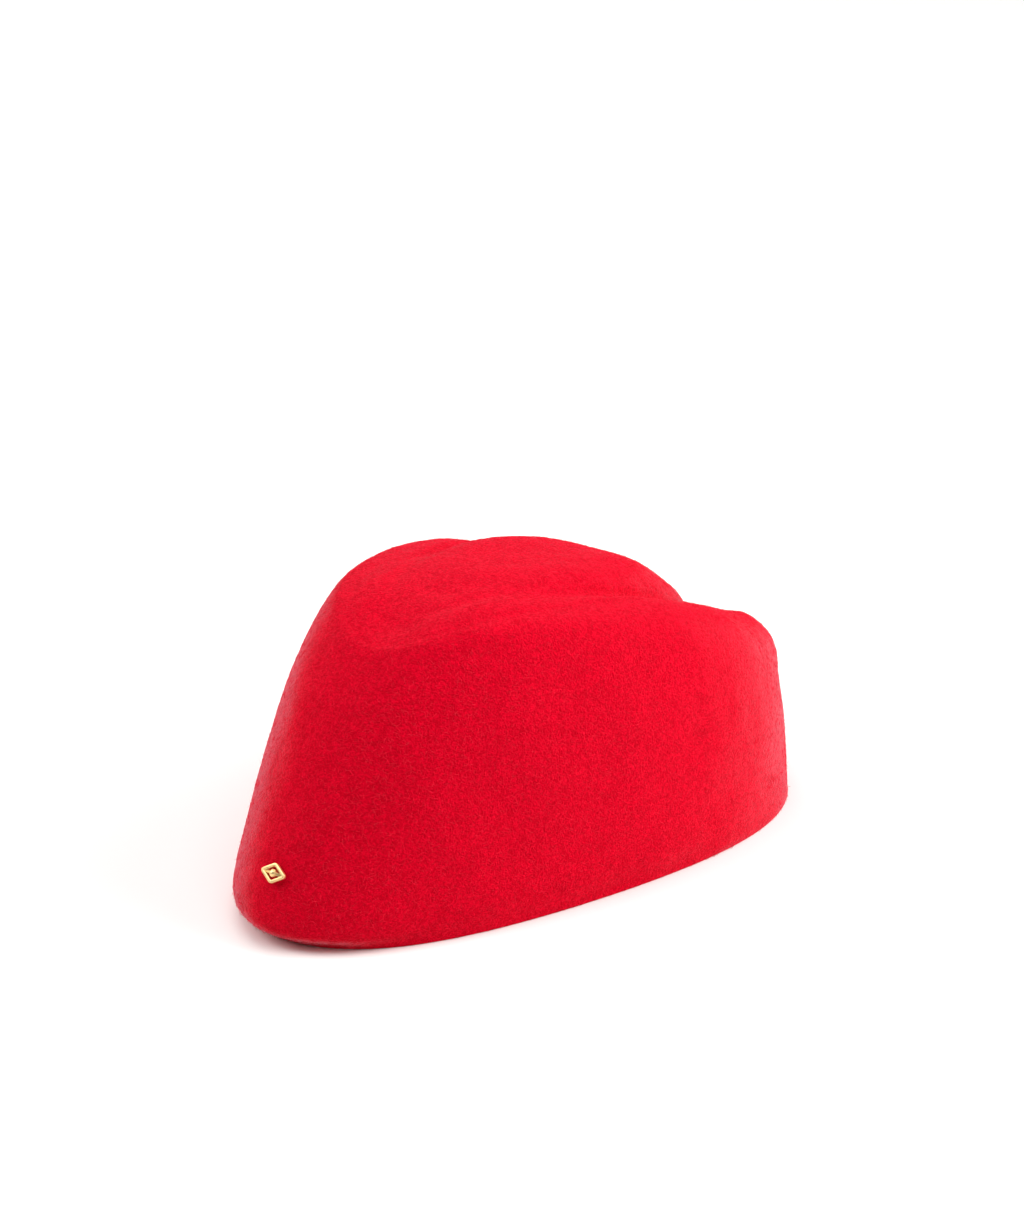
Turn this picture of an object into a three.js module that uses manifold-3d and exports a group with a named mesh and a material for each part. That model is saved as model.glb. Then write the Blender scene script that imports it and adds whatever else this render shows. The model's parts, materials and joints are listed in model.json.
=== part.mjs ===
// Brimless wool felt hat: one moulded felt body with a ring of dented crown round a
// long dome, and a small pierced brass badge low on the front.
// Millimetres, +Z up. The front faces -Y and the rim stands on the XY plane.

import * as THREE from 'three';
import { mergeVertices } from 'three/addons/utils/BufferGeometryUtils.js';
import Module from 'manifold-3d';

// Felt body, measured on the outside
const halfLength = 112; // middle of the rim to its front or its back
const halfWidth = 70; // middle of the rim to its side, before the taper
const feltThickness = 2.5;

// Height of the ridge round the crown, every eighth of a turn from front to back
const ridgeFront = 89;
const ridgeFore = 95.8;
const ridgeSide = 86.3;
const ridgeRear = 60.5;
const ridgeBack = 45.3;

const domeRise = 9.7; // top of the dome above the ridge's front
const grooveDepth = 3.1; // groove between the ridge and the dome

// Badge, on the middle of the front
const badgeCentreHeight = 24.7; // above the rim
const badgeWidth = 11;
const badgeHeight = 7.4;
const badgeThickness = 1.2;
const frameBar = 1.1; // width of the lozenge's four bars
const crossBar = 1.0; // height of the bar across the lozenge
const bossRadius = 1.3;
const bossRise = 0.9; // top of the boss above the bars

// Two posts of the badge, through the felt and the keeper plate
const postDiameter = 0.9;
const postSpacing = 6;
const plateHeight = 3.2;
const plateThickness = 0.8;
const plateMargin = 1.5; // plate beyond each post's axis
const clearance = 0.3; // between pieces that touch

// Faces round the hat, and between two sections of it
const stepsRound = 60;
const ringCount = 24; // from the rim to the top, three to a section
const roundSides = 20; // of the boss, posts and their holes

const crownHeight = ridgeFront + domeRise;

// Sections of the felt, from the rim to the top. length and shift are shares of halfLength, and
// width is one of halfWidth. taper narrows the front and widens the back, and fullness
// widens both ends. front, side and back are height shares: of the ridge's height on the
// wall, of the groove's depth below the ridge, where less than none is above it, and of the
// way from the ridge to the crown's top on the dome.
const sectionColumns = [
  'name', 'on', 'length', 'width', 'shift', 'taper', 'fullness', 'front', 'side', 'back',
];
const sectionRows = [
  ['rim', 'wall', 0.99, 0.993, 0, 0.345, 0.11, 0, 0, 0],
  ['low', 'wall', 1.04, 0.99, -0.02, 0.36, 0.05, 0.145, 0.2, 0.29],
  ['high', 'wall', 0.915, 0.935, 0.095, 0.315, 0.05, 0.69, 0.675, 0.675],
  ['shoulder', 'wall', 0.83, 0.815, 0.2, 0.295, 0.065, 0.95, 0.925, 0.86],
  ['ridge', 'wall', 0.775, 0.58, 0.21, 0.305, 0.135, 1, 1, 1],
  ['groove', 'groove', 0.665, 0.455, 0.185, 0.3, 0.165, -0.9, 0.15, 0.9],
  ['flank', 'dome', 0.56, 0.385, 0.125, 0.42, 0.16, 0.5, 0.42, 0.42],
  ['brow', 'dome', 0.395, 0.26, 0.065, 0.3, 0.13, 0.81, 0.75, 0.75],
  ['top', 'dome', 0, 0, -0.08, 0, 0, 1, 1, 1],
];
const sections = sectionRows.map((row) => (
  Object.fromEntries(sectionColumns.map((column, place) => [column, row[place]]))
));

const heightRules = {
  wall: (share, ridge) => share * ridge,
  groove: (share, ridge) => ridge - share * grooveDepth,
  dome: (share, ridge) => ridge + share * (crownHeight - ridge),
};

// Ridge heights from one fore quarter round the front and the back to the far rear
// quarter, so that the curve runs on smoothly past the front and past the back.
const ridgeHeights = [ridgeFore, ridgeFront, ridgeFore, ridgeSide, ridgeRear, ridgeBack, ridgeRear];
const eighthTurn = Math.PI / 4;
const ridgeLine = new THREE.SplineCurve(
  ridgeHeights.map((height, place) => new THREE.Vector2(place, height)),
);

// turn is 0 at the front and grows towards the wearer's left.
function ridgeHeight(turn) {
  const fromFront = Math.acos(Math.cos(turn));
  const place = 1 + fromFront / eighthTurn;
  return ridgeLine.getPoint(place / (ridgeHeights.length - 1)).y;
}

function sectionPoint(section, turn) {
  const forward = Math.cos(turn);
  const endways = Math.cos(2 * turn);
  const ends = (section.front + section.back) / 2;
  const lean = (section.front - section.back) * forward + (ends - section.side) * endways;
  const share = (ends + section.side + lean) / 2;
  const spread = 1 - section.taper * forward + section.fullness * (1 + endways);
  return new THREE.Vector3(
    halfWidth * section.width * Math.sin(turn) * spread,
    halfLength * (section.shift - section.length * forward),
    heightRules[section.on](share, ridgeHeight(turn)),
  );
}

// A curve from the rim at this turn, over the top and down to the rim on the other side.
function meridian(turn) {
  const near = sections.map((section) => sectionPoint(section, turn));
  const far = sections.slice(0, -1).reverse().map((section) => sectionPoint(section, turn + Math.PI));
  return new THREE.CatmullRomCurve3([...near, ...far], false, 'catmullrom', 0.5);
}

// climb is 0 at the rim and 1 at the top.
function outsidePoint(turn, climb) {
  return meridian(turn).getPoint(climb / 2);
}

const nudge = 1e-3;

function outwardNormal(turn, climb) {
  const round = outsidePoint(turn + nudge, climb).sub(outsidePoint(turn - nudge, climb));
  const up = outsidePoint(turn, climb + nudge).sub(outsidePoint(turn, Math.max(climb - nudge, 0)));
  return round.cross(up).normalize();
}

// A point of the felt, this far in from its outside. The rim's edge is level.
function feltPoint(turn, climb, inset) {
  const point = outsidePoint(turn, climb);
  if (inset === 0) return point;
  const normal = outwardNormal(turn, climb);
  if (climb === 0) normal.setZ(0).normalize();
  return point.addScaledVector(normal, -inset);
}

function feltTop(inset) {
  return outsidePoint(0, 1).setZ(crownHeight - inset);
}

// Rings of points up one side of the felt, closed by a point at the top.
function feltSide(inset) {
  const points = [];
  for (let ring = 0; ring < ringCount; ring += 1) {
    for (let step = 0; step < stepsRound; step += 1) {
      points.push(feltPoint((step / stepsRound) * 2 * Math.PI, ring / ringCount, inset));
    }
  }
  points.push(feltTop(inset));
  return points;
}

function feltGeometry() {
  const outside = feltSide(0);
  const inside = feltSide(feltThickness);
  const top = ringCount * stepsRound;
  const within = outside.length; // index of the inside's first point
  const faces = [];
  for (let step = 0; step < stepsRound; step += 1) {
    const next = (step + 1) % stepsRound;
    for (let ring = 0; ring < ringCount - 1; ring += 1) {
      const low = ring * stepsRound;
      const high = low + stepsRound;
      faces.push(low + step, low + next, high + next, low + step, high + next, high + step);
      faces.push(within + low + step, within + high + next, within + low + next);
      faces.push(within + low + step, within + high + step, within + high + next);
    }
    const last = (ringCount - 1) * stepsRound;
    faces.push(last + step, last + next, top);
    faces.push(within + last + next, within + last + step, within + top);
    faces.push(step, within + step, within + next, step, within + next, next);
  }
  const geometry = new THREE.BufferGeometry().setFromPoints([...outside, ...inside]);
  geometry.setIndex(faces);
  return geometry;
}

const wasm = await Module();
wasm.setup();

// Closed solid of a geometry, its points merged where they meet.
function solidOf(geometry) {
  const bare = new THREE.BufferGeometry().setAttribute('position', geometry.getAttribute('position'));
  bare.setIndex(geometry.index);
  const merged = mergeVertices(bare);
  const triangles = [];
  for (let place = 0; place < merged.index.count; place += 3) {
    const corners = [0, 1, 2].map((corner) => merged.index.getX(place + corner));
    if (new Set(corners).size === corners.length) triangles.push(...corners);
  }
  return new wasm.Manifold(new wasm.Mesh({
    numProp: 3,
    vertProperties: Float32Array.from(merged.getAttribute('position').array),
    triVerts: Uint32Array.from(triangles),
  }));
}

function geometryOf(solid) {
  const { vertProperties, triVerts } = solid.getMesh();
  const geometry = new THREE.BufferGeometry();
  geometry.setAttribute('position', new THREE.BufferAttribute(vertProperties, 3));
  geometry.setIndex(new THREE.BufferAttribute(triVerts, 1));
  geometry.computeVertexNormals();
  return geometry;
}

// Where the badge sits: x across the hat, y up the wall and z out of it.
function climbAtHeight(height) {
  let low = 0;
  let high = 0.5;
  for (let halving = 0; halving < 30; halving += 1) {
    const middle = (low + high) / 2;
    if (outsidePoint(0, middle).z < height) low = middle;
    else high = middle;
  }
  return low;
}

const badgeClimb = climbAtHeight(badgeCentreHeight);
const badgeOut = outwardNormal(0, badgeClimb);
const badgeAcross = new THREE.Vector3(1, 0, 0);
const badgeUp = badgeOut.clone().cross(badgeAcross);
const badgeFrame = new THREE.Matrix4()
  .makeBasis(badgeAcross, badgeUp, badgeOut)
  .setPosition(outsidePoint(0, badgeClimb));

// A point of the felt's mesh, kept once it is worked out.
const meshPoints = new Map();

function meshPoint(column, row, inset) {
  const key = [column, row, inset].join();
  if (!meshPoints.has(key)) {
    const turn = (column / stepsRound) * 2 * Math.PI;
    meshPoints.set(key, feltPoint(turn, row / ringCount, inset));
  }
  return meshPoints.get(key).clone();
}

// A point of the felt's flat facets, between the four points of its mesh nearest to it.
function facetPoint(turn, climb, inset) {
  const column = (turn / (2 * Math.PI)) * stepsRound;
  const row = climb * ringCount;
  const left = Math.floor(column);
  const low = Math.floor(row);
  const [below, above] = [low, low + 1].map((line) => (
    meshPoint(left, line, inset).lerp(meshPoint(left + 1, line, inset), column - left)
  ));
  return below.lerp(above, row - low);
}

// Lowest and highest z, in the badge's frame, of the felt's face behind a flat piece.
function feltBehind(inset, pieceWidth, pieceHeight) {
  const toBadge = badgeFrame.clone().invert();
  const samples = 20;
  const reachRound = (pieceWidth / halfWidth) * 2;
  const reachUp = pieceHeight / crownHeight;
  const range = { low: Infinity, high: -Infinity };
  for (let across = -samples; across <= samples; across += 1) {
    for (let up = -samples; up <= samples; up += 1) {
      const turn = (across / samples) * reachRound;
      const climb = badgeClimb + (up / samples) * reachUp;
      const point = facetPoint(turn, Math.max(climb, 0), inset).applyMatrix4(toBadge);
      if (Math.abs(point.x) > pieceWidth / 2 || Math.abs(point.y) > pieceHeight / 2) continue;
      range.low = Math.min(range.low, point.z);
      range.high = Math.max(range.high, point.z);
    }
  }
  return range;
}

const plateWidth = postSpacing + 2 * plateMargin;
const badgeBack = feltBehind(0, badgeWidth, badgeHeight).high + clearance;
const plateFront = feltBehind(feltThickness, plateWidth, plateHeight).low - clearance;
const plateBack = plateFront - plateThickness;

function lozenge(acrossRadius, upRadius) {
  const corners = [[acrossRadius, 0], [0, upRadius], [-acrossRadius, 0], [0, -upRadius]];
  return corners.map(([across, up]) => new THREE.Vector2(across, up));
}

// Flat frame of four bars, its back on z = 0.
function lozengeFrame() {
  const acrossRadius = badgeWidth / 2;
  const upRadius = badgeHeight / 2;
  const barShare = (frameBar * Math.hypot(acrossRadius, upRadius)) / (acrossRadius * upRadius);
  const shape = new THREE.Shape(lozenge(acrossRadius, upRadius));
  shape.holes.push(new THREE.Path(lozenge(acrossRadius * (1 - barShare), upRadius * (1 - barShare))));
  return new THREE.ExtrudeGeometry(shape, { depth: badgeThickness, bevelEnabled: false });
}

function barAcross() {
  const length = badgeWidth - 2 * frameBar;
  return new THREE.BoxGeometry(length, crossBar, badgeThickness).translate(0, 0, badgeThickness / 2);
}

// Round boss with a domed top, its back on z = 0.
function boss() {
  const domeSteps = 5;
  const profile = [new THREE.Vector2(0, 0), new THREE.Vector2(bossRadius, 0)];
  for (let step = 0; step < domeSteps; step += 1) {
    const angle = (step / domeSteps) * (Math.PI / 2);
    const height = badgeThickness + bossRise * Math.sin(angle);
    profile.push(new THREE.Vector2(bossRadius * Math.cos(angle), height));
  }
  profile.push(new THREE.Vector2(0, badgeThickness + bossRise));
  return new THREE.LatheGeometry(profile, roundSides).rotateX(Math.PI / 2);
}

// Round bar along z, from low to high, where the post on this side goes.
function postBar(side, radius, low, high) {
  return new THREE.CylinderGeometry(radius, radius, high - low, roundSides)
    .rotateX(Math.PI / 2)
    .translate((side * postSpacing) / 2, 0, (low + high) / 2);
}

const postSides = [-1, 1];
const holeRadius = postDiameter / 2 + clearance;

function makeFelt() {
  let felt = solidOf(feltGeometry());
  for (const side of postSides) {
    const hole = postBar(side, holeRadius, plateBack, badgeBack + badgeThickness);
    felt = felt.subtract(solidOf(hole.applyMatrix4(badgeFrame)));
  }
  return geometryOf(felt);
}

function makeBadge() {
  let badge = solidOf(lozengeFrame()).add(solidOf(barAcross())).add(solidOf(boss()));
  for (const side of postSides) {
    const post = postBar(side, postDiameter / 2, plateBack - badgeBack, badgeThickness / 2);
    badge = badge.add(solidOf(post));
  }
  return geometryOf(badge);
}

function makeKeeperPlate() {
  const plate = new THREE.BoxGeometry(plateWidth, plateHeight, plateThickness)
    .translate(0, 0, (plateFront + plateBack) / 2);
  let solid = solidOf(plate);
  for (const side of postSides) {
    const hole = postBar(side, holeRadius, plateBack - clearance, plateFront + clearance);
    solid = solid.subtract(solidOf(hole));
  }
  return geometryOf(solid);
}

const redFelt = new THREE.MeshStandardMaterial({ color: 0xd80b2a, roughness: 0.95, metalness: 0 });
const polishedBrass = new THREE.MeshStandardMaterial({ color: 0xd8a64a, roughness: 0.25, metalness: 1 });
const plainBrass = new THREE.MeshStandardMaterial({ color: 0xb98f45, roughness: 0.45, metalness: 1 });

function named(name, geometry, material) {
  const mesh = new THREE.Mesh(geometry, material);
  mesh.name = name;
  return mesh;
}

const onFront = new THREE.Group();
onFront.applyMatrix4(badgeFrame);
const badge = named('badge', makeBadge(), polishedBrass);
badge.position.z = badgeBack;
onFront.add(badge, named('badge_keeper_plate', makeKeeperPlate(), plainBrass));

const hat = new THREE.Group();
hat.add(named('felt_crown', makeFelt(), redFelt), onFront);

// The origin is under the middle of the whole hat.
const reach = new THREE.Box3().setFromObject(hat, true);
hat.position.y = -(reach.min.y + reach.max.y) / 2;

export default hat;
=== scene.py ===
import json
import math

import bpy
import numpy as np
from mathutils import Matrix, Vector

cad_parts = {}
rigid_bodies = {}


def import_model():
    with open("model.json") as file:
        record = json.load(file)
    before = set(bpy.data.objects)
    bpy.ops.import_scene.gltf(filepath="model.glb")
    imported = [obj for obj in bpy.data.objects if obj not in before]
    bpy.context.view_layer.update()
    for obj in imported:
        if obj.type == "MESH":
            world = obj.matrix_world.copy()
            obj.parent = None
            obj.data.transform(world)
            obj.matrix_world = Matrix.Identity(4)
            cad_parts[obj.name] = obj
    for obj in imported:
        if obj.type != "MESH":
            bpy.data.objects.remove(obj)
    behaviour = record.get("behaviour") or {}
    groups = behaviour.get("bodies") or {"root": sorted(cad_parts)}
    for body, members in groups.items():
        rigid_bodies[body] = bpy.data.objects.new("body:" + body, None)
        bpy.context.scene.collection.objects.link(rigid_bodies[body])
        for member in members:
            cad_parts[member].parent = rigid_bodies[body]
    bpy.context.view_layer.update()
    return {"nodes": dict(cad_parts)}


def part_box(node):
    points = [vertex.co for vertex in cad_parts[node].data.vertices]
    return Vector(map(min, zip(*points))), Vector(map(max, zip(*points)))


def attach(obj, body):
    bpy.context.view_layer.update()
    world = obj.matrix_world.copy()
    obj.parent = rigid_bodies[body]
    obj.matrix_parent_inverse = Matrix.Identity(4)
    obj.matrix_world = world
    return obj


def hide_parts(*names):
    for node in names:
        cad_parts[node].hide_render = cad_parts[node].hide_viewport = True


# A brimless hat moulded from one piece of red wool felt, standing on its rim.
# Metres, +Z up, the front faces -Y. Turn 0 is the front and grows towards +X.

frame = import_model()


# Shared helpers

def srgbToLinear(hexColour):
    # each channel of the hex value through the sRGB curve
    channels = [int(hexColour[i:i + 2], 16) / 255 for i in (1, 3, 5)]
    return tuple(c / 12.92 if c <= 0.04045 else ((c + 0.055) / 1.055) ** 2.4 for c in channels) + (1.0,)


def addNode(tree, kind, settings, inputs):
    # a node with its own settings, and for each input either a value or the output that feeds it
    node = tree.nodes.new(kind)
    for name, value in settings.items():
        setattr(node, name, value)
    for name, value in inputs.items():
        if isinstance(value, bpy.types.NodeSocket):
            tree.links.new(value, node.inputs[name])
        else:
            node.inputs[name].default_value = value
    return node


def newMaterial(name):
    material = bpy.data.materials.new(name)
    material.use_nodes = True
    material.node_tree.nodes.clear()
    return material, material.node_tree


def unit(vectors):
    # each vector divided by its length
    return vectors / np.maximum(np.linalg.norm(vectors, axis=-1, keepdims=True), 1e-12)


def smoothStep(low, high, value):
    # 0 below low, 1 above high, and an S curve between
    t = np.clip((value - low) / (high - low), 0, 1)
    return t * t * (3 - 2 * t)


def smoothCurve(a, b, c, d, w):
    # the uniform Catmull-Rom curve from b to c, which heads for the points a and d on either side
    return 0.5 * (2 * b + (c - a) * w + (2 * a - 5 * b + 4 * c - d) * w**2 + (3 * b - a - 3 * c + d) * w**3)


def gridFaces(rows, columns):
    # quads between neighbouring rows, closed round the columns
    row = np.arange(rows - 1)[:, None] * columns
    column = np.arange(columns)[None, :]
    after = (column + 1) % columns
    quads = np.stack([row + column, row + after, row + columns + after, row + columns + column], -1)
    return quads.reshape(-1, 4)


def fanFaces(first, columns, pole, turned=False):
    # triangles from a pole to each step of the ring that starts at first
    step = np.arange(columns)
    after = (step + 1) % columns
    one, two = (after, step) if turned else (step, after)
    return np.stack([np.full(columns, pole), first + one, first + two], -1)


def makeMesh(name, points, quads, triangles=None, smooth=True):
    # a mesh object at the origin, from arrays of points, quads and triangles
    triangles = np.zeros((0, 3), int) if triangles is None else triangles
    corners = np.concatenate([quads.ravel(), triangles.ravel()]).astype(np.int32)
    counts = np.concatenate([np.full(len(quads), 4), np.full(len(triangles), 3)]).astype(np.int32)
    starts = np.concatenate([[0], np.cumsum(counts)[:-1]]).astype(np.int32)
    mesh = bpy.data.meshes.new(name)
    mesh.vertices.add(len(points))
    mesh.vertices.foreach_set("co", np.asarray(points, np.float32).ravel())
    mesh.loops.add(len(corners))
    mesh.loops.foreach_set("vertex_index", corners)
    mesh.polygons.add(len(counts))
    mesh.polygons.foreach_set("loop_start", starts)
    mesh.polygons.foreach_set("use_smooth", np.full(len(counts), smooth))
    mesh.update(calc_edges=True)
    mesh.validate()
    piece = bpy.data.objects.new(name, mesh)
    bpy.context.scene.collection.objects.link(piece)
    return piece


# Felt body

felt = dict(
    halfLength=0.112,
    halfWidth=0.070,
    thickness=0.0025,
    ridge=[0.089, 0.0958, 0.0863, 0.0605, 0.0453],  # heights from front to back, every eighth of a turn
    domeRise=0.0097,
    grooveDepth=0.0031,
    columns=400,
    outerRings=190,
    edgeRings=10,
    innerRings=46,
    edgeRise=0.0007,      # how far up the rounding of the cut rim goes
    edgeSquareness=0.55,  # 1 is a half round, less is squarer
    levelClimb=0.03,      # from this climb down to the rim the inset turns level
    plainClimb=0.02,      # from this climb down to the rim the lumps fade out
    topClimb=0.9985,      # above this climb the normal points straight up
    lumps=[(0.030, 0.00014), (0.014, 0.00005), (0.006, 0.00002)],  # wavelength and height
    lumpWaves=9,          # sine waves for each wavelength
    lumpSpread=(0.75, 1.35),  # each wave's length, as a share of the wavelength
    lumpCrowding=2.1,     # the waves' heights are divided by this
    seed=7,
)

# sections from the rim to the top: rule, length, width, shift, taper, fullness, front, side, back
feltSections = [
    ("wall", 0.99, 0.993, 0.000, 0.345, 0.11, 0.00, 0.00, 0.00),
    ("wall", 1.04, 0.99, -0.020, 0.36, 0.05, 0.145, 0.20, 0.29),
    ("wall", 0.915, 0.935, 0.095, 0.315, 0.05, 0.69, 0.675, 0.675),
    ("wall", 0.83, 0.815, 0.200, 0.295, 0.065, 0.95, 0.925, 0.86),
    ("wall", 0.775, 0.58, 0.210, 0.305, 0.135, 1.00, 1.00, 1.00),
    ("groove", 0.665, 0.455, 0.185, 0.30, 0.165, -0.90, 0.15, 0.90),
    ("dome", 0.56, 0.385, 0.125, 0.42, 0.16, 0.50, 0.42, 0.42),
    ("dome", 0.395, 0.26, 0.065, 0.30, 0.13, 0.81, 0.75, 0.75),
    ("dome", 0.00, 0.00, -0.080, 0.00, 0.00, 1.00, 1.00, 1.00),
]
crownHeight = felt["ridge"][0] + felt["domeRise"]


def ridgeHeight(turn):
    # a smooth curve through the ridge's heights, the same on both sides, which starts one eighth
    # before the front and ends past the back so that it runs on smoothly there
    front, fore, side, rear, back = felt["ridge"]
    heights = np.array([fore, front, fore, side, rear, back, rear, side])
    place = 1 + np.arccos(np.clip(np.cos(turn), -1, 1)) / (math.pi / 4)
    first = np.minimum(np.floor(place).astype(int), len(heights) - 3)
    return smoothCurve(*(heights[first + step] for step in (-1, 0, 1, 2)), place - first)


def sectionPoints(section, turn):
    # x is half the width times the sine of the turn, y is half the length times the shift less the
    # length's share of the cosine, and z follows the ridge, the groove or the dome at that turn
    rule, length, width, shift, taper, fullness, front, side, back = section
    forward, endways = np.cos(turn), np.cos(2 * turn)
    ends = (front + back) / 2
    share = (ends + side + (front - back) * forward + (ends - side) * endways) / 2
    spread = 1 - taper * forward + fullness * (1 + endways)
    ridge = ridgeHeight(turn)
    height = {
        "wall": share * ridge,
        "groove": ridge - share * felt["grooveDepth"],
        "dome": ridge + share * (crownHeight - ridge),
    }[rule]
    return np.stack([felt["halfWidth"] * width * np.sin(turn) * spread,
                     felt["halfLength"] * (shift - length * forward), height], -1)


def outsidePoints(turn, climb):
    # a smooth curve from the rim over the top through every section, read at climb, 0 rim to 1 top;
    # turn and climb are arrays of one shape
    near = [sectionPoints(section, turn) for section in feltSections]
    far = [sectionPoints(section, turn + math.pi) for section in feltSections[-2:-4:-1]]
    knots = np.stack([2 * near[0] - near[1], *near, *far])
    place = climb * (len(feltSections) - 1)
    first = np.clip(np.floor(place).astype(int), 0, len(feltSections) - 2)
    where = np.indices(turn.shape)
    return smoothCurve(*(knots[(first + step, *where)] for step in range(4)), (place - first)[..., None])


def outsideNormals(turn, climb):
    # the cross product of the steps round and up the surface
    nudge = 1e-3
    top = np.minimum(climb + nudge, 1)
    low = np.maximum(climb - nudge, 0)
    around = outsidePoints(turn + nudge, climb) - outsidePoints(turn - nudge, climb)
    up = outsidePoints(turn, top) - outsidePoints(turn, low)
    normals = unit(np.cross(around, up))
    normals[climb > felt["topClimb"]] = (0, 0, 1)
    return normals


def lumpHeight(points):
    # a sum of sine waves in seeded directions, so the same place always gets the same height
    rng = np.random.default_rng(felt["seed"])
    total = np.zeros(points.shape[:-1])
    for wavelength, height in felt["lumps"]:
        for _ in range(felt["lumpWaves"]):
            direction = rng.normal(size=3)
            length = wavelength * rng.uniform(*felt["lumpSpread"])
            direction *= 2 * math.pi / (length * np.linalg.norm(direction))
            wave = np.sin(points @ direction + rng.uniform(0, 2 * math.pi))
            total += height / felt["lumpCrowding"] * wave
    return total


def feltPoints(turn, climb, inset):
    # the outside moved in by inset along the normal, which is level at the rim, plus the lumps
    points = outsidePoints(turn, climb)
    normals = outsideNormals(turn, climb)
    level = normals.copy()
    level[..., 2] *= smoothStep(0, felt["levelClimb"], climb)
    lift = lumpHeight(points) * smoothStep(0, felt["plainClimb"], climb)
    return points + unit(level) * (lift - inset)[..., None], normals


def feltShift():
    # how far along y the felt moves so that its box and the solid's have one middle
    turn, climb = np.meshgrid(np.linspace(0, 2 * math.pi, 241), np.linspace(0, 0.5, 41))
    reach = outsidePoints(turn, climb)[..., 1]
    low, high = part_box("felt_crown")
    return (low.y + high.y - reach.min() - reach.max()) / 2


feltOffset = np.array([0, feltShift(), 0])


def climbAtRise(turn, rise):
    # climb where the wall is rise above the rim, by three steps in proportion to the height so far
    climb = np.full(turn.shape, 0.01)
    for _ in range(3):
        climb = climb * rise / np.maximum(outsidePoints(turn, climb)[..., 2], 1e-6)
    return climb


def feltRings(turn, climb, inset):
    # a ring of points for each row of climb, inset by one value or by one for each row
    points, _ = feltPoints(np.broadcast_to(turn, climb.shape), climb, np.broadcast_to(inset, climb.shape))
    return points


def makeFeltBody():
    # rings down the outside, round the cut edge and up the inside, closed by a point at each top
    turn = np.linspace(0, 2 * math.pi, felt["columns"], endpoint=False)
    start = climbAtRise(turn, felt["edgeRise"])[None, :]

    downwards = np.linspace(1, 0, felt["outerRings"] + 1)[1:, None]
    outer = feltRings(turn, start + (1 - start) * downwards, 0)

    # rounded cut edge: across the wall as 1 - cosine, down as 1 - sine, both to a power below 1
    around = np.linspace(0, math.pi, felt["edgeRings"] + 2)[1:-1, None]
    power = felt["edgeSquareness"]
    across = (1 - np.sign(np.cos(around)) * np.abs(np.cos(around)) ** power) / 2
    rise = felt["edgeRise"] * (1 - np.sin(around) ** power)
    edge = feltRings(turn, start * (rise / felt["edgeRise"]), across * felt["thickness"])
    edge[..., 2] = rise

    upwards = np.linspace(0, 1, felt["innerRings"] + 1)[:-1, None]
    inner = feltRings(turn, start + (1 - start) * upwards, felt["thickness"])

    grid = np.concatenate([outer, edge, inner]) + feltOffset
    rings, columns = grid.shape[:2]
    apex = outsidePoints(np.zeros((1, 1)), np.ones((1, 1)))[0, 0] + feltOffset
    poles = np.array([[apex[0], apex[1], crownHeight],
                      [apex[0], apex[1], crownHeight - felt["thickness"]]])
    points = np.concatenate([grid.reshape(-1, 3), poles])
    caps = np.concatenate([
        fanFaces(0, columns, rings * columns),
        fanFaces((rings - 1) * columns, columns, rings * columns + 1, turned=True),
    ])
    return makeMesh("felt_body", points, gridFaces(rings, columns)[:, ::-1], caps)


feltBody = makeFeltBody()
print("felt body:", len(feltBody.data.polygons), "faces, y shift", round(feltOffset[1] * 1000, 3), "mm")


# Wool fibres lying on the felt

fibres = dict(
    pieces=3,
    perPiece=16000,
    cellsRound=300,   # of the grid that shares the fibres out by area
    cellsUp=240,
    lowClimb=0.004,
    highClimb=0.998,
    length=(0.0009, 0.0034),
    radius=(0.000028, 0.000065),
    bow=0.00035,      # sideways bend of a fibre
    lift=(0.00001, 0.00016),  # how far an end stands off the felt
    standing=0.04,    # share of fibres whose end stands out
    standLift=(0.0004, 0.0011),
    sink=0.00004,     # the root end goes this far into the felt
    floorGap=0.00005,  # no fibre reaches lower than this
    stops=[0, 0.33, 0.68, 1.0],  # places along a fibre, from its root
    middles=[1, 0.8],  # shares of its radius at the two inner stops
    seed=31,
)


def feltCells():
    # cells of a grid on the outside with the area of each, from the cross product of its diagonals
    turn, climb = np.meshgrid(np.linspace(0, 2 * math.pi, fibres["cellsRound"] + 1),
                              np.linspace(fibres["lowClimb"], fibres["highClimb"], fibres["cellsUp"] + 1))
    points = outsidePoints(turn, climb)
    diagonal = points[1:, 1:] - points[:-1, :-1]
    other = points[1:, :-1] - points[:-1, 1:]
    area = np.linalg.norm(np.cross(diagonal, other), axis=-1) / 2
    return turn[:-1, :-1], climb[:-1, :-1], area


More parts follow.
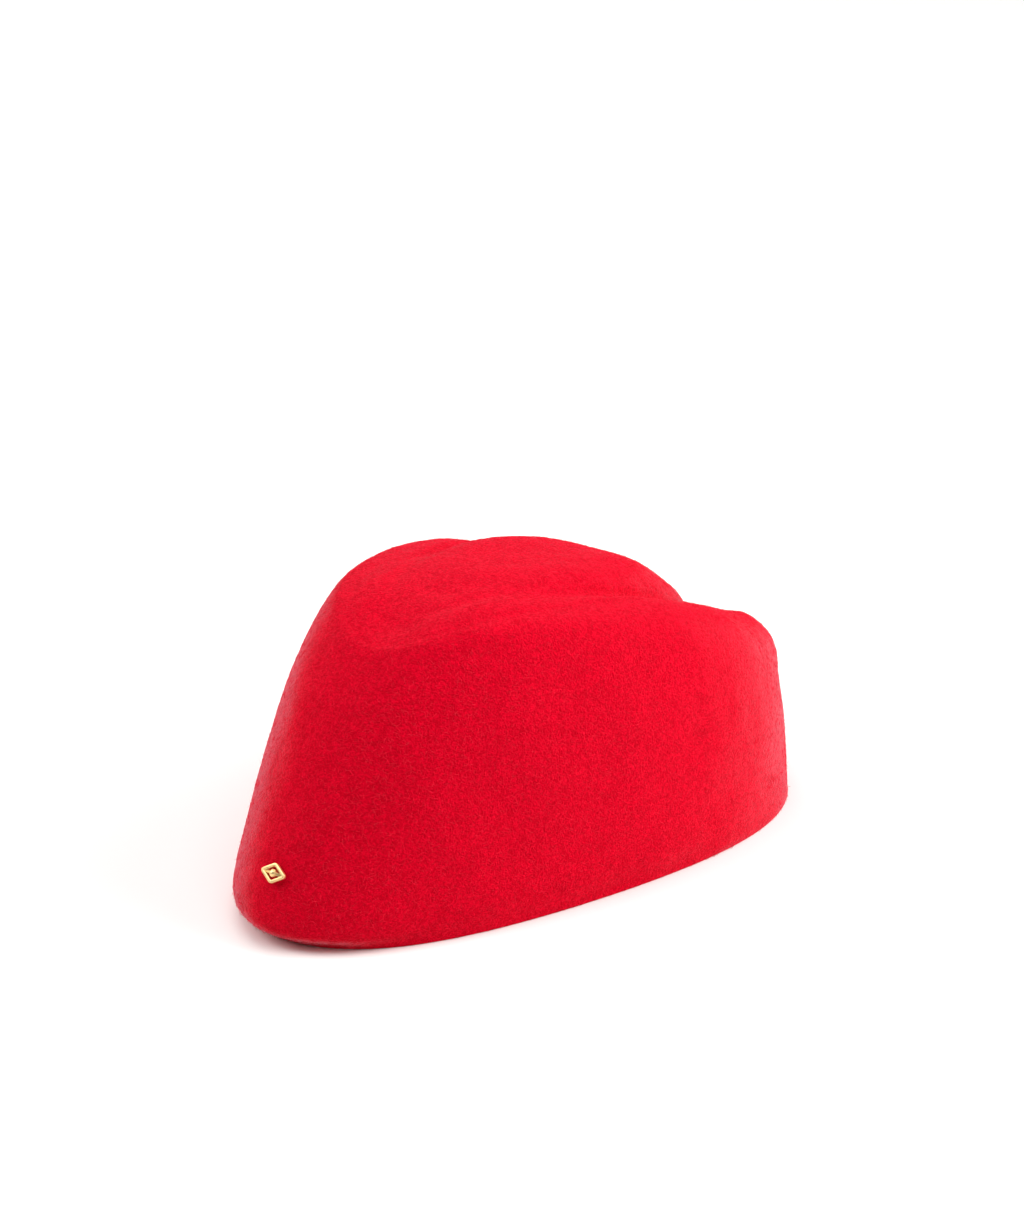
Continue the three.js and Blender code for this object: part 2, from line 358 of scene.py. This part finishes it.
def makeFibres(index):
    # each fibre is a thin three-sided tube along a bowed line, pointed at both ends:
    # root + direction * along + side * bow * along * (1 - along) * 4
    # + normal * (twice the sink * along + lift * along squared)
    rng = np.random.default_rng(fibres["seed"] + index)
    count = fibres["perPiece"]
    turns, climbs, area = feltCells()
    chosen = rng.choice(area.size, size=count, p=(area / area.sum()).ravel())
    cellTurn = 2 * math.pi / fibres["cellsRound"]
    cellClimb = (fibres["highClimb"] - fibres["lowClimb"]) / fibres["cellsUp"]
    turn = turns.ravel()[chosen] + rng.uniform(0, cellTurn, count)
    climb = climbs.ravel()[chosen] + rng.uniform(0, cellClimb, count)
    root, normal = feltPoints(turn, climb, np.full(count, fibres["sink"]))
    helper = rng.normal(size=(count, 3))
    direction = unit(helper - normal * np.sum(helper * normal, -1, keepdims=True))
    side = np.cross(normal, direction)
    length = rng.uniform(*fibres["length"], count)
    bow = rng.normal(0, fibres["bow"], count)
    lift = rng.uniform(*fibres["lift"], count)
    stands = rng.random(count) < fibres["standing"]
    lift[stands] = rng.uniform(*fibres["standLift"], stands.sum())
    radius = rng.uniform(*fibres["radius"], count)

    along = np.array(fibres["stops"])
    thick = radius[:, None] * np.array(fibres["middles"])
    line = (root[:, None] + direction[:, None] * (along * length[:, None])[..., None]
            + side[:, None] * (bow[:, None] * 4 * along * (1 - along))[..., None]
            + normal[:, None] * (fibres["sink"] * along * 2 + lift[:, None] * along**2)[..., None])
    angles = np.arange(3) * 2 * math.pi / 3 + math.pi / 2
    ring = (side[:, None, None] * np.cos(angles)[None, None, :, None]
            + normal[:, None, None] * np.sin(angles)[None, None, :, None])
    tube = line[:, 1:3, None] + ring * thick[..., None, None]
    points = np.concatenate([line[:, :1], tube.reshape(count, 6, 3), line[:, 3:]], axis=1) + feltOffset
    points[..., 2] = np.maximum(points[..., 2], fibres["floorGap"])

    # one fibre has its root, two rings of three points and its tip
    tips = np.array([[0, 2, 1], [0, 3, 2], [0, 1, 3], [7, 4, 5], [7, 5, 6], [7, 6, 4]])
    walls = np.array([[1, 2, 5, 4], [2, 3, 6, 5], [3, 1, 4, 6]])
    perFibre = points.shape[1]
    start = (np.arange(count) * perFibre)[:, None, None]
    piece = makeMesh(f"wool_fibres_{index + 1}", points.reshape(-1, 3), (walls + start).reshape(-1, 4),
                     (tips + start).reshape(-1, 3))
    tone = np.repeat(rng.random(count), perFibre)
    attribute = piece.data.attributes.new("woolTone", "FLOAT", "POINT")
    attribute.data.foreach_set("value", tone.astype(np.float32))
    return piece


fibrePieces = [makeFibres(index) for index in range(fibres["pieces"])]
print("fibres:", fibres["pieces"] * fibres["perPiece"])


# Badge: a pierced brass lozenge with a bar and a boss

badge = dict(
    centreHeight=0.0247,   # above the rim
    width=0.011,
    height=0.0074,
    bar=0.0011,
    barInset=(0.75, 0.62),  # middle of the bars in from the tips, in bar widths, across and up
    crossBar=0.0010,
    crossBarEnds=2.6,      # the bar across is shorter than the lozenge by this many bar widths
    crossBarShare=0.86,    # its thickness, as a share of the badge's
    thickness=0.0012,
    bossRadius=0.0013,
    bossRise=0.0009,
    bossDome=0.86,         # the dome on the boss, as a share of its radius
    bossTopAngle=1.5,      # where on the dome its flat top begins, in radians
    postRadius=0.00045,
    postSpacing=0.006,
    cornerRounding=0.0004,
    edgeRounding=0.00025,
    chamfer=0.0001,
    edgeSteps=5,           # points on each rounded edge of a bar
    cornerSteps=7,         # points on each rounded corner of the lozenge
    sideSteps=9,
    domeSteps=9,
    bossSides=28,
    postSides=16,
)


def badgeAxes():
    # the badge's middle and axes on the front: across, up the wall and out of it
    turn = np.zeros(1)
    climbs = np.linspace(0.02, 0.5, 4000)
    heights = outsidePoints(np.zeros(len(climbs)), climbs)[:, 2]
    climb = np.interp(badge["centreHeight"], heights, climbs)
    centre = outsidePoints(turn, np.full(1, climb))[0] + feltOffset
    out = outsideNormals(turn, np.full(1, climb))[0]
    out = unit(np.array([0, out[1], out[2]]))
    across = np.array([1.0, 0, 0])
    return centre, across, np.cross(out, across), out


badgeCentre, badgeAcross, badgeUp, badgeOut = badgeAxes()
cadBadge = np.array([v.co for v in frame["nodes"]["badge"].data.vertices]).reshape(-1, 3)
cadDepths = (cadBadge - badgeCentre) @ badgeOut  # from the posts' ends to the boss's top
badgeBack = cadDepths.max() - badge["thickness"] - badge["bossRise"]
postEnd = cadDepths.min()


def placeOnBadge(points):
    # x across, y up and z out in the badge's axes, from the back of its bars
    return (badgeCentre + points[..., :1] * badgeAcross + points[..., 1:2] * badgeUp
            + (points[..., 2:] + badgeBack) * badgeOut)


def barProfile(width, thickness, rounding):
    # a closed rounded rectangle, a quarter circle at each corner, its back on z = 0
    angles = np.linspace(0, math.pi / 2, badge["edgeSteps"])
    pieces = []
    for quarter, (signX, signZ) in enumerate([(1, 1), (-1, 1), (-1, -1), (1, -1)]):
        angle = angles + quarter * math.pi / 2
        centre = np.array([signX * (width / 2 - rounding),
                           thickness / 2 + signZ * (thickness / 2 - rounding)])
        pieces.append(centre + np.stack([np.cos(angle), np.sin(angle)], -1) * rounding)
    return np.concatenate(pieces)


def lozengePath():
    # straight sides between corners that bend as a quadratic curve: the square of 1 - t times where
    # it enters, 2 t (1 - t) times the corner and t squared times where it leaves
    halfAcross = badge["width"] / 2 - badge["bar"] * badge["barInset"][0]
    halfUp = badge["height"] / 2 - badge["bar"] * badge["barInset"][1]
    corners = np.array([[halfAcross, 0], [0, halfUp], [-halfAcross, 0], [0, -halfUp]])
    reach = badge["cornerRounding"] * 2
    bend = np.linspace(0, 1, badge["cornerSteps"])[:, None]
    straight = np.linspace(0, 1, badge["sideSteps"])[1:-1, None]
    path = []
    for k in range(4):
        before, here, after = corners[k - 1], corners[k], corners[(k + 1) % 4]
        enter = here + unit(before - here) * reach
        leave = here + unit(after - here) * reach
        path.append((1 - bend)**2 * enter + 2 * bend * (1 - bend) * here + bend**2 * leave)
        path.append(leave * (1 - straight) + (after + unit(here - after) * reach) * straight)
    return np.concatenate(path)


def lozengeFrame():
    # the bar's profile carried round the lozenge, square to its path
    path = lozengePath()
    tangent = unit(np.roll(path, -1, 0) - np.roll(path, 1, 0))
    sideways = np.stack([tangent[:, 1], -tangent[:, 0]], -1)
    profile = barProfile(badge["bar"], badge["thickness"], badge["edgeRounding"])
    points = np.concatenate([
        path[:, None] + sideways[:, None] * profile[None, :, :1],
        np.broadcast_to(profile[None, :, 1:], (len(path), len(profile), 1)),
    ], -1)
    rows, columns = points.shape[:2]
    quads = gridFaces(rows + 1, columns) % (rows * columns)  # the last row joins the first
    return points.reshape(-1, 3), quads


def straightBar(length, width, thickness):
    # the bar's profile along x, closed at both ends by its middle
    profile = barProfile(width, thickness, badge["edgeRounding"] * 0.9)
    stops = np.array([-1, 1]) * length / 2
    rings = np.stack([np.column_stack([np.full(len(profile), x), profile]) for x in stops])
    ends = np.array([[x, 0, thickness / 2] for x in stops])
    columns = len(profile)
    caps = np.concatenate([
        fanFaces(0, columns, 2 * columns, turned=True),
        fanFaces(columns, columns, 2 * columns + 1),
    ])
    return np.concatenate([rings.reshape(-1, 3), ends]), gridFaces(2, columns), caps


def turnedProfile(profile, sides):
    # a profile of radius and height turned round z, its ends closed on the axis
    angle = np.linspace(0, 2 * math.pi, sides, endpoint=False)
    radius, height = np.array(profile).T
    rows = len(radius)
    rings = np.stack([radius[:, None] * np.cos(angle), radius[:, None] * np.sin(angle),
                      np.broadcast_to(height[:, None], (rows, sides))], -1)
    ends = np.array([[0, 0, height[0]], [0, 0, height[-1]]])
    caps = np.concatenate([
        fanFaces(0, sides, rows * sides, turned=True),
        fanFaces((rows - 1) * sides, sides, rows * sides + 1),
    ])
    return np.concatenate([rings.reshape(-1, 3), ends]), gridFaces(rows, sides), caps


def bossShape():
    # a short straight side with a softened shoulder, then a quarter of an ellipse to the top: the
    # dome's radius * cosine out from the axis and the boss's rise * sine above the bars
    radius, thickness = badge["bossRadius"], badge["thickness"]
    profile = [  # radius and height
        (radius * 0.92, 0.0),
        (radius, badge["chamfer"]),
        (radius, thickness * 0.95),
        (radius * 0.97, thickness * 1.02),
        (radius * 0.9, thickness * 1.04),
    ]
    dome = radius * badge["bossDome"]
    for angle in np.linspace(0, math.pi / 2, badge["domeSteps"])[:-1]:
        profile.append((dome * math.cos(angle), thickness + badge["bossRise"] * math.sin(angle)))
    profile.append((dome * math.cos(badge["bossTopAngle"]), thickness + badge["bossRise"]))
    return turnedProfile(profile, badge["bossSides"])


def postShape(side):
    # a round bar from behind the keeper plate to the middle of the lozenge's bars
    radius = badge["postRadius"]
    low = postEnd - badgeBack
    profile = [(radius * 0.8, low), (radius, low + badge["chamfer"]), (radius, badge["thickness"] / 2)]
    points, quads, caps = turnedProfile(profile, badge["postSides"])
    return points + np.array([side * badge["postSpacing"] / 2, 0, 0]), quads, caps


def joinParts(parts):
    # points, quads and triangles of several shapes as one list each
    points, quads, triangles, start = [], [], [], 0
    for part in parts:
        points.append(part[0])
        quads.append(part[1] + start)
        if len(part) > 2:
            triangles.append(part[2] + start)
        start += len(part[0])
    return np.concatenate(points), np.concatenate(quads), np.concatenate(triangles)


def makeBadge():
    barLength = badge["width"] - badge["crossBarEnds"] * badge["bar"]
    points, quads, triangles = joinParts([
        lozengeFrame(),
        straightBar(barLength, badge["crossBar"], badge["thickness"] * badge["crossBarShare"]),
        bossShape(),
        postShape(-1),
        postShape(1),
    ])
    return makeMesh("brass_badge", placeOnBadge(points), quads, triangles)


brassBadge = makeBadge()
print("badge: back of the bars", round(badgeBack * 1000, 3), "mm off the felt")


# Materials

feltLook = dict(
    strandSize=0.0014,  # wool strands, drawn coarser than they are so that they show
    napSize=0.0006,
    bunchSize=0.006,    # patches where the fibres bunch
    stretchUp=1.3,      # the strands lie a little more round the hat than up it
    # low and high: painted shade, a darker red in the gaps between the strands, and painted light, a brighter
    # red on the strand tops
    low="#c4001c",
    high="#f6002c",
    # tips: a painted highlight, a paler red on the strands that stand proudest, standing in for glints
    tips="#ff3850",     # on the strands that stand proudest
    sheen="#ff9cab",
)


def makeFeltMaterial():
    # wool felt, pressed and brushed: matt red, mottled where fibres bunch, darker between the strands and
    # brighter on them as painted shade and painted light, paler on the proudest strands as painted glints,
    # with a pale bloom where the wall turns away from the eye
    material, tree = newMaterial("pressedWoolFelt")
    texture = addNode(tree, "ShaderNodeTexCoord", {}, {})
    place = texture.outputs["Object"]
    combed = addNode(tree, "ShaderNodeMapping", {}, {"Vector": place, "Scale": (1, 1, feltLook["stretchUp"])})
    strands = addNode(tree, "ShaderNodeTexNoise", {"noise_type": "RIDGED_MULTIFRACTAL"}, {
        "Vector": combed.outputs["Vector"], "Scale": 1 / feltLook["strandSize"], "Detail": 2.0,
        "Roughness": 0.7, "Lacunarity": 2.1, "Offset": 0.9, "Gain": 1.6, "Distortion": 0.7})
    nap = addNode(tree, "ShaderNodeTexNoise", {}, {
        "Vector": place, "Scale": 1 / feltLook["napSize"], "Detail": 2.0, "Roughness": 0.6})
    bunch = addNode(tree, "ShaderNodeTexNoise", {}, {
        "Vector": place, "Scale": 1 / feltLook["bunchSize"], "Detail": 3.0, "Roughness": 0.55})

    strand = addNode(tree, "ShaderNodeMapRange", {}, {
        "Value": strands.outputs["Fac"], "From Min": 0.5, "From Max": 2.2})
    bunched = addNode(tree, "ShaderNodeMapRange", {}, {
        "Value": bunch.outputs["Fac"], "From Min": 0.35, "From Max": 0.68})
    # painted highlight: the proudest strands turn paler, glints put into the base colour
    tips = addNode(tree, "ShaderNodeMapRange", {}, {
        "Value": strand.outputs["Result"], "From Min": 0.6, "To Max": 0.7})
    # the base colour follows the strands' height: painted shade in the gaps and painted light on the tops
    base = addNode(tree, "ShaderNodeMixRGB", {}, {
        "Fac": strand.outputs["Result"],
        "Color1": srgbToLinear(feltLook["low"]), "Color2": srgbToLinear(feltLook["high"])})
    paintedGlint = addNode(tree, "ShaderNodeMixRGB", {}, {
        "Fac": tips.outputs["Result"],
        "Color1": base.outputs["Color"], "Color2": srgbToLinear(feltLook["tips"])})
    shade = addNode(tree, "ShaderNodeMixRGB", {"blend_type": "MULTIPLY"}, {
        "Fac": 0.06, "Color1": paintedGlint.outputs["Color"], "Color2": bunched.outputs["Result"]})

    relief = addNode(tree, "ShaderNodeMath", {"operation": "MULTIPLY_ADD"}, {
        0: nap.outputs["Fac"], 1: 2.4, 2: strand.outputs["Result"]})
    fine = addNode(tree, "ShaderNodeBump", {}, {
        "Height": relief.outputs["Value"], "Strength": 1.0, "Distance": 0.0002})
    coarse = addNode(tree, "ShaderNodeBump", {}, {
        "Height": bunch.outputs["Fac"], "Strength": 0.3, "Distance": 0.0003,
        "Normal": fine.outputs["Normal"]})

    # the bloom grows towards the edges of the upright wall, not on the crown
    facing = addNode(tree, "ShaderNodeLayerWeight", {}, {"Blend": 0.5})
    edge = addNode(tree, "ShaderNodeMapRange", {"interpolation_type": "SMOOTHSTEP"}, {
        "Value": facing.outputs["Facing"], "From Min": 0.28, "From Max": 0.92})
    lean = addNode(tree, "ShaderNodeSeparateXYZ", {}, {"Vector": texture.outputs["Normal"]})
    upright = addNode(tree, "ShaderNodeMapRange", {}, {
        "Value": lean.outputs["Z"], "From Min": 0.45, "From Max": 0.85, "To Min": 1.0, "To Max": 0.0})
    raised = addNode(tree, "ShaderNodeMath", {"operation": "MULTIPLY_ADD"}, {
        0: edge.outputs["Result"], 1: upright.outputs["Result"], 2: 0.03})
    bloom = addNode(tree, "ShaderNodeMath", {"operation": "MULTIPLY_ADD"}, {
        0: strand.outputs["Result"], 1: 0.15, 2: raised.outputs["Value"]})

    shader = addNode(tree, "ShaderNodeBsdfPrincipled", {}, {
        "Base Color": shade.outputs["Color"], "Roughness": 0.6, "Normal": coarse.outputs["Normal"],
        "Specular IOR Level": 0.015, "Sheen Weight": bloom.outputs["Value"], "Sheen Roughness": 0.45,
        "Sheen Tint": srgbToLinear(feltLook["sheen"])})
    addNode(tree, "ShaderNodeOutputMaterial", {}, {"Surface": shader.outputs["BSDF"]})
    return material


fibreLook = dict(
    low="#d40020",
    high="#f42844",
    sheen="#ffb0ba",
)


def makeFibreMaterial():
    # single wool fibres on the nap: the same dye, some paler where they catch the light
    material, tree = newMaterial("looseWoolFibre")
    tone = addNode(tree, "ShaderNodeAttribute", {"attribute_name": "woolTone"}, {})
    colour = addNode(tree, "ShaderNodeMixRGB", {}, {
        "Fac": tone.outputs["Fac"],
        "Color1": srgbToLinear(fibreLook["low"]), "Color2": srgbToLinear(fibreLook["high"])})
    shader = addNode(tree, "ShaderNodeBsdfPrincipled", {}, {
        "Base Color": colour.outputs["Color"], "Roughness": 0.8, "Specular IOR Level": 0.03,
        "Sheen Weight": 0.1, "Sheen Roughness": 0.4, "Sheen Tint": srgbToLinear(fibreLook["sheen"])})
    addNode(tree, "ShaderNodeOutputMaterial", {}, {"Surface": shader.outputs["BSDF"]})
    return material


brassLook = dict(
    markSize=0.0006,  # spacing of the handling marks
    polished=("#ffdc9c", 0.36),  # colour and roughness
    brushed=("#c9a25c", 0.42),
)


def makeBrassMaterial(name, hexColour, roughness):
    # brass: warm gold with faint handling marks in the gloss
    material, tree = newMaterial(name)
    place = addNode(tree, "ShaderNodeTexCoord", {}, {}).outputs["Object"]
    marks = addNode(tree, "ShaderNodeTexNoise", {}, {
        "Vector": place, "Scale": 1 / brassLook["markSize"], "Detail": 4.0})
    gloss = addNode(tree, "ShaderNodeMapRange", {}, {
        "Value": marks.outputs["Fac"], "To Min": roughness * 0.7, "To Max": roughness * 1.4})
    hue = addNode(tree, "ShaderNodeMixRGB", {"blend_type": "MULTIPLY"}, {
        "Fac": 0.12, "Color1": srgbToLinear(hexColour), "Color2": marks.outputs["Fac"]})
    bump = addNode(tree, "ShaderNodeBump", {}, {
        "Height": marks.outputs["Fac"], "Strength": 0.25, "Distance": 0.00004})
    shader = addNode(tree, "ShaderNodeBsdfPrincipled", {}, {
        "Base Color": hue.outputs["Color"], "Metallic": 1.0, "Roughness": gloss.outputs["Result"],
        "Normal": bump.outputs["Normal"]})
    addNode(tree, "ShaderNodeOutputMaterial", {}, {"Surface": shader.outputs["BSDF"]})
    return material


def dress(piece, material):
    piece.data.materials.clear()
    piece.data.materials.append(material)


dress(feltBody, makeFeltMaterial())
fibreMaterial = makeFibreMaterial()
for piece in fibrePieces:
    dress(piece, fibreMaterial)
dress(brassBadge, makeBrassMaterial("polishedPlatedBrass", *brassLook["polished"]))
dress(frame["nodes"]["badge_keeper_plate"], makeBrassMaterial("brushedBrass", *brassLook["brushed"]))

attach(feltBody, "root")
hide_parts("felt_crown")
for piece in fibrePieces:
    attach(piece, "root")
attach(brassBadge, "root")
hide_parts("badge")
print("materials on")


# Floor, light and camera

studio = dict(
    floorHalf=8.0,
    floorColour="#f4f3f1",
    worldColour="#ffffff",
    worldStrength=0.07,
    lightAim=0.05,  # height above the floor that every light faces
    lights=[
        # name, azimuth, elevation, distance, side of its square, watts
        ("top_light", 30, 86, 1.2, 1.2, 10.0),
        ("right_rear_light", 142, 30, 1.5, 1.0, 11.5),
        ("right_side_light", 120, 30, 1.5, 0.9, 12.2),
        ("right_low_light", 105, 15, 1.5, 0.9, 6.2),
        ("rear_low_light", 165, 6, 1.5, 0.9, 5.0),
        ("left_rear_light", -120, 28, 1.5, 0.8, 5.8),
        ("left_low_light", -65, 15, 1.5, 0.9, 3.0),
        ("left_front_light", -45, 40, 1.5, 0.9, 12.7),
    ],
)

camera = dict(
    azimuth=38.6,    # degrees round from the front towards +X
    elevation=24.1,
    distance=1.66,
    lens=144.6,
    sensor=36,       # millimetres along the photograph's long side
    aimHeight=0.047,
    aimRight=0.0059,
    aimUp=0.0292,
)


def bearing(azimuth, elevation):
    # unit vector from the hat towards an eye or a light, from degrees round and degrees up
    a, e = math.radians(azimuth), math.radians(elevation)
    return Vector((math.sin(a) * math.cos(e), -math.cos(a) * math.cos(e), math.sin(e)))


def makeFloor():
    half = studio["floorHalf"]
    corners = np.array([[-half, -half, 0], [half, -half, 0], [half, half, 0], [-half, half, 0]], float)
    floor = makeMesh("studio_floor", corners, np.array([[0, 1, 2, 3]]), smooth=False)
    material, tree = newMaterial("paintedBoard")
    shader = addNode(tree, "ShaderNodeBsdfPrincipled", {}, {
        "Base Color": srgbToLinear(studio["floorColour"]), "Roughness": 0.9})
    addNode(tree, "ShaderNodeOutputMaterial", {}, {"Surface": shader.outputs["BSDF"]})
    dress(floor, material)


def makeWorld():
    world = bpy.data.worlds.new("softRoom")
    world.use_nodes = True
    background = world.node_tree.nodes["Background"]
    background.inputs["Color"].default_value = srgbToLinear(studio["worldColour"])
    background.inputs["Strength"].default_value = studio["worldStrength"]
    bpy.context.scene.world = world


def makeLight(name, azimuth, elevation, distance, size, power):
    # a square soft light at this bearing from the hat's middle, facing it
    back = bearing(azimuth, elevation)
    data = bpy.data.lights.new(name, "AREA")
    data.shape = "SQUARE"
    data.size = size
    data.energy = power
    light = bpy.data.objects.new(name, data)
    light.location = Vector((0, 0, studio["lightAim"])) + back * distance
    light.rotation_euler = (-back).to_track_quat("-Z", "Y").to_euler()
    bpy.context.scene.collection.objects.link(light)


def makeCamera():
    back = bearing(camera["azimuth"], camera["elevation"])
    azimuth = math.radians(camera["azimuth"])
    right = Vector((math.cos(azimuth), math.sin(azimuth), 0))
    up = back.cross(right)
    centre = Vector((0, feltOffset[1], camera["aimHeight"]))
    aim = centre + right * camera["aimRight"] + up * camera["aimUp"]
    data = bpy.data.cameras.new("camera")
    data.lens = camera["lens"]
    data.sensor_width = camera["sensor"]
    data.clip_start = 0.05
    data.clip_end = 50
    eye = bpy.data.objects.new("camera", data)
    eye.location = centre + back * camera["distance"]
    eye.rotation_euler = (aim - eye.location).to_track_quat("-Z", "Y").to_euler()
    bpy.context.scene.collection.objects.link(eye)
    bpy.context.scene.camera = eye


bpy.context.scene.view_settings.view_transform = "Standard"  # keeps the dye's red as strong as it is
makeFloor()
makeWorld()
for light in studio["lights"]:
    makeLight(*light)
makeCamera()
print("floor, light and camera placed")
